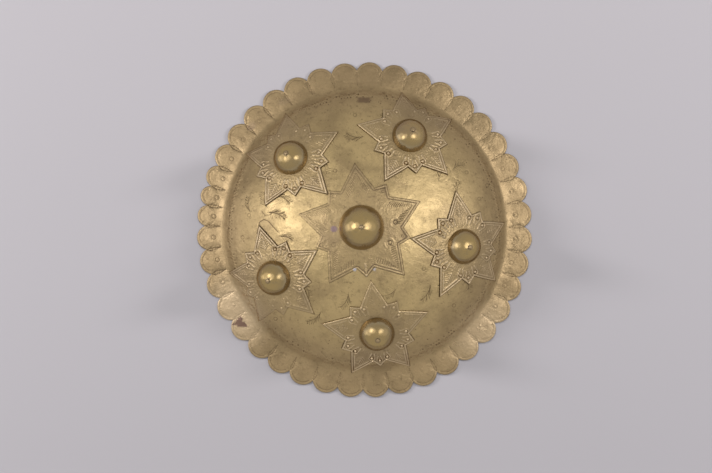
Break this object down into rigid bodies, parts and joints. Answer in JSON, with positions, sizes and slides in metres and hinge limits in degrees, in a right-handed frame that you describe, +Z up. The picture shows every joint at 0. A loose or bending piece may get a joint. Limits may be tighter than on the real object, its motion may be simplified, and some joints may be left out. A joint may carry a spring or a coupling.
{
  "type": "round shield",
  "caption": "Round domed brass shield with a flat scalloped flange, riveted hollow bosses and pointed star plates with raised borders, lying dome up.",
  "frame": {"origin": "under the middle of the shield, on the plane that its flange lies on", "axes": "+Z up through the dome, out of the shield's front; +Y towards the top of the shield as it is seen from the front; +X to its right"},
  "size_m": [0.3495, 0.3495, 0.0674],
  "materials": {
    "sheet_brass": "aged, hand worked, with punched and engraved ornament and brown tarnish in the hollows",
    "plate_brass": "aged embossed sheet, rubbed bright on its raised borders and pearls",
    "boss_brass": "smooth, polished and darkened",
    "rivet_brass": "small hammered heads, darker round their edges"
  },
  "bodies": {
    "root": {"shield_body": "sheet_brass", "star_plate_centre": "plate_brass", "star_plate_right": "plate_brass", "star_plate_upper_right": "plate_brass", "star_plate_upper_left": "plate_brass", "star_plate_lower_left": "plate_brass", "star_plate_bottom": "plate_brass", "boss_centre": "boss_brass", "boss_right": "boss_brass", "boss_upper_right": "boss_brass", "boss_upper_left": "boss_brass", "boss_lower_left": "boss_brass", "boss_bottom": "boss_brass", "rivet_centre": "rivet_brass", "rivet_right": "rivet_brass", "rivet_upper_right": "rivet_brass", "rivet_upper_left": "rivet_brass", "rivet_lower_left": "rivet_brass", "rivet_bottom": "rivet_brass"}
  },
  "joints": []
}
